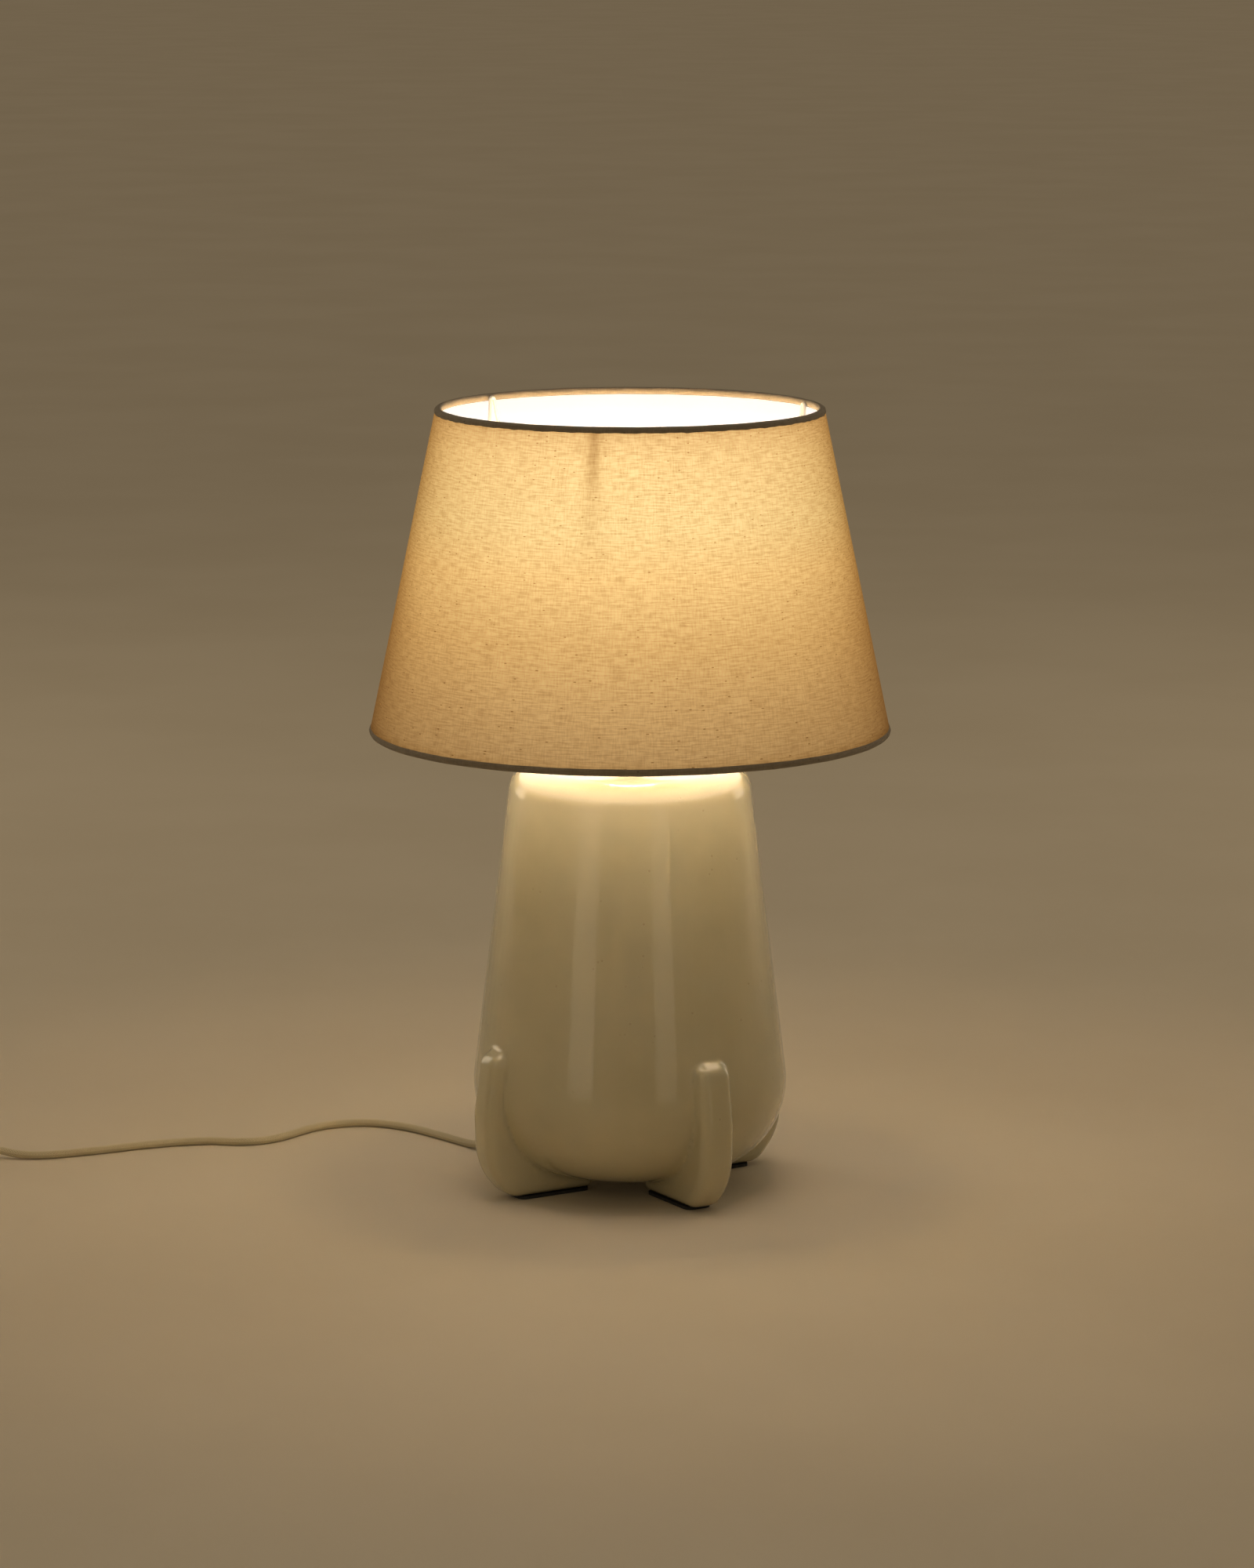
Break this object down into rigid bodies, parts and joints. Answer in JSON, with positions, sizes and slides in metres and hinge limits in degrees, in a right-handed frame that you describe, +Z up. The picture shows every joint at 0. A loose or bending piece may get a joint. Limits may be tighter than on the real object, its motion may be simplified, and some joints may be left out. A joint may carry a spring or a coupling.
{
  "type": "table lamp",
  "caption": "Table lamp: tapered drum linen shade on a glazed ceramic body with moulded feet, screw lampholder and bulb, textile cord with rocker switch and flat plug.",
  "frame": {"origin": "on the table under the lamp's axis, midway between the feet", "axes": "+Z up along the lamp's axis, -Y to the front, +X to the lamp's right as seen from the front"},
  "size_m": [0.7301, 0.35, 0.5303],
  "materials": {
    "glaze": "glossy ivory glaze over stoneware",
    "foot_pad": "matte black",
    "relief": "moulded ivory plastic",
    "gasket": "matte",
    "steel": "satin nickel",
    "holder_plastic": "moulded thermoplastic, slightly glossy",
    "insert_ceramic": "unglazed steatite",
    "contact_brass": "plain",
    "core_brown": "insulation",
    "core_blue": "insulation",
    "white_wire": "white powder coat",
    "linen": "natural linen weave with slubs",
    "hem": "rolled linen hem",
    "liner": "white styrene laminate",
    "bulb_metal": "rolled screw cap",
    "bulb_black": "insulating plug",
    "bulb_collar": "moulded",
    "bulb_opal": "opal diffuser, lit",
    "cord_textile": "braided cotton",
    "tie": "woven hook-and-loop strap",
    "switch_plastic": "ivory moulded",
    "screw_steel": "zinc plated",
    "plug_plastic": "ivory moulded",
    "pin_nickel": "nickel plated brass",
    "pin_sleeve": "insulating sleeve"
  },
  "bodies": {
    "base": {"ceramic_body": "glaze", "foot_pad_right_rear": "foot_pad", "foot_pad_left_rear": "foot_pad", "foot_pad_left_front": "foot_pad", "foot_pad_right_front": "foot_pad", "cord_relief": "relief", "cap_gasket": "gasket", "top_cap": "steel", "threaded_tube": "steel", "inner_washer": "steel", "lock_nut": "steel", "holder_cup": "holder_plastic", "holder_skirt": "holder_plastic", "holder_insert": "insert_ceramic", "terminal_screws": "contact_brass", "screw_shell": "contact_brass", "centre_contact": "contact_brass", "inner_flex": "cord_textile", "core_live": "core_brown", "core_neutral": "core_blue", "cord_lead": "cord_textile", "cord_link": "cord_textile", "cord_tail": "cord_textile", "cord_coil": "cord_textile", "coil_tie": "tie", "switch_lower_shell": "switch_plastic", "switch_upper_shell": "switch_plastic", "switch_screws": "screw_steel", "switch_contacts": "contact_brass", "plug_body": "plug_plastic", "plug_pins": "pin_nickel", "plug_sleeves": "pin_sleeve"},
    "shade": {"shade_linen": "linen", "shade_liner": "liner", "bottom_ring": "white_wire", "top_ring": "white_wire", "bottom_hem": "hem", "top_hem": "hem", "fitter_ring": "white_wire", "arm_right": "white_wire", "arm_left": "white_wire", "arm_front": "white_wire"},
    "bulb": {"bulb_tip_contact": "bulb_metal", "bulb_insulator": "bulb_black", "bulb_screw_cap": "bulb_metal", "bulb_collar": "bulb_collar", "bulb_globe": "bulb_opal"},
    "clamp_ring": {"shade_clamp_ring": "holder_plastic"},
    "rocker": {"switch_rocker": "switch_plastic"}
  },
  "joints": [
    {"name": "shade_turn", "type": "hinge", "parent": "base", "child": "shade", "pos_m": [0, 0, 0.3226], "axis": [0, 0, 1], "continuous": true},
    {"name": "clamp_ring_turn", "type": "hinge", "parent": "base", "child": "clamp_ring", "pos_m": [0, 0, 0.3286], "axis": [0, 0, 1], "continuous": true},
    {"name": "bulb_turn", "type": "hinge", "parent": "base", "child": "bulb", "pos_m": [0, 0, 0.334], "axis": [0, 0, 1], "continuous": true},
    {"name": "rocker_tilt", "type": "hinge", "parent": "base", "child": "rocker", "pos_m": [-0.4811, 0.0525, 0.0125], "axis": [-0.1736, 0.9848, 0], "range_deg": [0, 17]}
  ]
}
